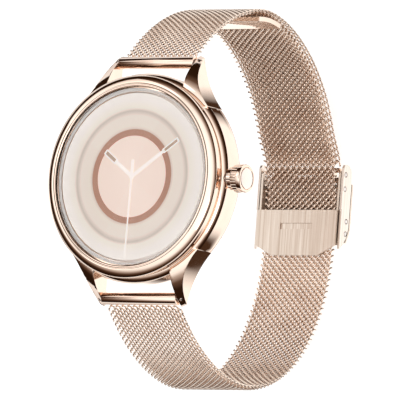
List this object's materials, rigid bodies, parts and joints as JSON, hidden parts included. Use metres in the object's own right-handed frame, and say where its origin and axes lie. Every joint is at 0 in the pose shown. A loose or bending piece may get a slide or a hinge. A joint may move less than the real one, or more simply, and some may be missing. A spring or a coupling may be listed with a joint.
{
  "type": "smartwatch",
  "caption": "Round smartwatch with a push-and-turn crown, four lugs and a fine woven wire strap closed by a sliding fold-over clasp.",
  "frame": {"origin": "centre of the flat case back's outer face, on the sensor window", "axes": "+Z out of the display, +X towards the crown at 3 o'clock, +Y towards 12 o'clock; the closed strap hangs below in -Z"},
  "size_m": [0.0467, 0.0765, 0.0644],
  "materials": {
    "polished_rose": "polished",
    "crown_inlay": "polished",
    "brushed_rose": "brushed",
    "woven_rose": "satin",
    "bare_steel": "satin",
    "clear_glass": "polished",
    "display_face": "glossy",
    "sensor_glass": "glossy",
    "gasket_rubber": "matte",
    "frame_plastic": "matte",
    "circuit_board": "satin",
    "battery_foil": "satin",
    "contact_gold": "polished"
  },
  "bodies": {
    "case": {"mid_case": "polished_rose", "bezel": "polished_rose", "crystal": "clear_glass", "crystal_gasket": "gasket_rubber", "display_panel": "display_face", "inner_frame": "frame_plastic", "main_board": "circuit_board", "battery": "battery_foil", "vibration_motor": "bare_steel", "tact_switch": "bare_steel", "sensor_board": "circuit_board", "case_back": "brushed_rose", "sensor_window": "sensor_glass", "back_gasket": "gasket_rubber", "back_screw_1": "bare_steel", "back_screw_2": "bare_steel", "back_screw_3": "bare_steel", "back_screw_4": "bare_steel", "charge_contact_left": "contact_gold", "charge_contact_right": "contact_gold", "crown_tube": "bare_steel", "crown_seal": "gasket_rubber", "upper_spring_bar": "bare_steel", "lower_spring_bar": "bare_steel"},
    "crown_slider": {"crown_bush": "bare_steel"},
    "crown": {"crown_knob": "polished_rose", "crown_inset": "crown_inlay"},
    "upper_strap": {"upper_strap_mesh": "woven_rose", "upper_end_tube": "polished_rose", "upper_end_clip": "polished_rose", "hook_pin": "bare_steel"},
    "lower_strap": {"lower_strap_mesh": "woven_rose", "lower_end_tube": "polished_rose", "tail_tip": "polished_rose", "clasp_frame": "brushed_rose", "catch_bar": "bare_steel", "lower_bar": "bare_steel", "guide_rivet_left": "bare_steel", "guide_rivet_right": "bare_steel", "lever_pin_left": "bare_steel", "lever_pin_right": "bare_steel"},
    "lever": {"lock_lever": "brushed_rose"},
    "hook": {"hook": "bare_steel"},
    "cover": {"clasp_cover": "brushed_rose"}
  },
  "joints": [
    {"name": "crown_press", "type": "slide", "parent": "case", "child": "crown_slider", "axis": [-1, 0, 0], "range_m": [0, 0.0005], "stiffness_N_per_m": 1500, "springref_m": -0.0005},
    {"name": "crown_turn", "type": "hinge", "parent": "crown_slider", "child": "crown", "pos_m": [0.0228, 0, 0.0061], "axis": [1, 0, 0], "continuous": true},
    {"name": "clasp_cover_hinge", "type": "hinge", "parent": "upper_strap", "child": "cover", "pos_m": [0, 0.0074, -0.05235], "axis": [1, 0, 0], "range_deg": [0, 100]},
    {"name": "hook_lift", "type": "hinge", "parent": "upper_strap", "child": "hook", "pos_m": [0, 0.0074, -0.05235], "axis": [1, 0, 0], "range_deg": [0, 75]},
    {"name": "upper_strap_swing", "type": "hinge", "parent": "case", "child": "upper_strap", "pos_m": [0, 0.0236, 0.0031], "axis": [1, 0, 0], "range_deg": [0, 12.5]},
    {"name": "lower_strap_swing", "type": "hinge", "parent": "case", "child": "lower_strap", "pos_m": [0, -0.0236, 0.0031], "axis": [-1, 0, 0], "range_deg": [0, 4]},
    {"name": "lever_lift", "type": "hinge", "parent": "lower_strap", "child": "lever", "pos_m": [0, 0.0083, -0.051], "axis": [-1, 0, 0], "range_deg": [0, 75]}
  ],
  "couplings": [
    {"joint": "clasp_cover_hinge", "follows": "upper_strap_swing", "ratio": 8},
    {"joint": "hook_lift", "follows": "upper_strap_swing", "ratio": 6},
    {"joint": "lower_strap_swing", "follows": "upper_strap_swing", "ratio": 0.32}
  ]
}
